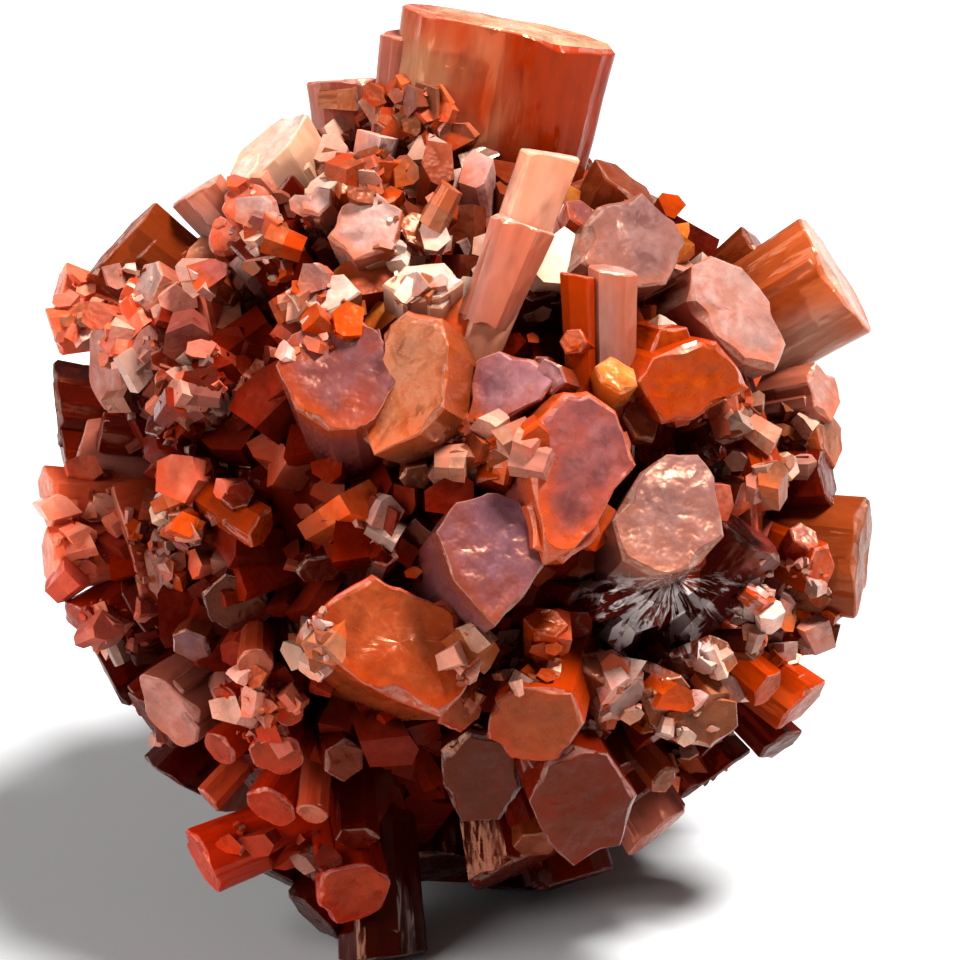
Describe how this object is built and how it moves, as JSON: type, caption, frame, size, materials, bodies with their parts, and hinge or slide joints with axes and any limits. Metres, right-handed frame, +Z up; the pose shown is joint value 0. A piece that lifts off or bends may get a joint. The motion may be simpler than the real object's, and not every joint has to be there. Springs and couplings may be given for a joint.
{
  "type": "aragonite crystal cluster",
  "caption": "Ball-shaped cluster of orange-brown hexagonal aragonite crystals that radiate from one middle, a display mineral that stands on its lower crystals' worn tips.",
  "frame": {"origin": "the middle of the lowest crystal's worn flat tip, on the floor plane under the ball's middle", "axes": "+Z up from the floor plane; the front, which the picture shows, faces -Y; +X is to the right as the front is seen"},
  "size_m": [0.0583, 0.0598, 0.0615],
  "materials": {
    "aragonite": "translucent, glossy prism sides and frosted ends"
  },
  "bodies": {
    "root": {"aragonite_cluster": "aragonite"}
  },
  "joints": []
}
